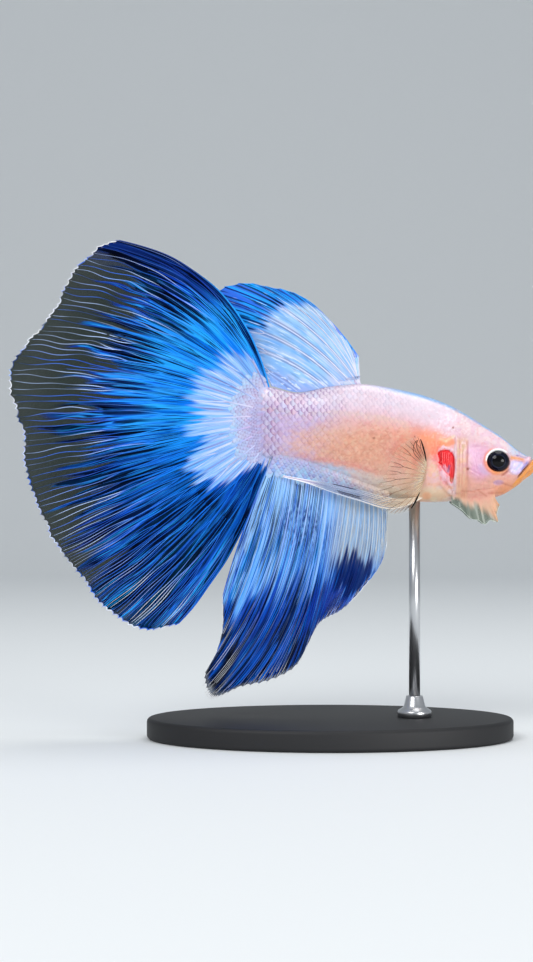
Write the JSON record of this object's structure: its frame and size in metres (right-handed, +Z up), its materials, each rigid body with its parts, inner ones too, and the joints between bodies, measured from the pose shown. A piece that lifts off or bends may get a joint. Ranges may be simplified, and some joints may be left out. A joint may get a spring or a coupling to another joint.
{
  "type": "display model of a halfmoon betta fish",
  "caption": "Life-size still model of a small ornamental fish with a fan-shaped tail and long flowing fins, held on a rod above an oval base.",
  "frame": {"origin": "centre of the flat underside of the stand's base, on the surface it stands on", "axes": "+X the way the fish faces, +Y the fish's left side, +Z up"},
  "size_m": [0.075, 0.034, 0.0706],
  "materials": {
    "flesh": "satin, like wet skin with fine scales",
    "jaw": "satin",
    "gill": "wet gloss",
    "eye": "high gloss",
    "caudal_fin": "thin film with fine ribs, satin",
    "dorsal_fin": "thin film with fine ribs, satin",
    "anal_fin": "thin film with fine ribs, satin",
    "pelvic_fin": "thin film, satin",
    "pectoral_fin": "clear film with fine ribs",
    "gill_membrane": "translucent film",
    "stand_paint": "satin black powder coat",
    "stand_steel": "fine brushed"
  },
  "bodies": {
    "root": {"head": "flesh", "lower_jaw": "jaw", "trunk": "flesh", "tail_stem": "flesh", "gill_cover_right": "flesh", "gill_cover_left": "flesh", "gill_right": "gill", "gill_left": "gill", "eye_right": "eye", "eye_left": "eye", "gill_membrane_right": "gill_membrane", "gill_membrane_left": "gill_membrane", "dorsal_fin": "dorsal_fin", "caudal_fin": "caudal_fin", "anal_fin": "anal_fin", "pelvic_fin_right": "pelvic_fin", "pelvic_fin_left": "pelvic_fin", "pectoral_fin_right": "pectoral_fin", "pectoral_fin_left": "pectoral_fin", "stand_base": "stand_paint", "stand_ferrule": "stand_steel", "stand_rod": "stand_steel"}
  },
  "joints": []
}
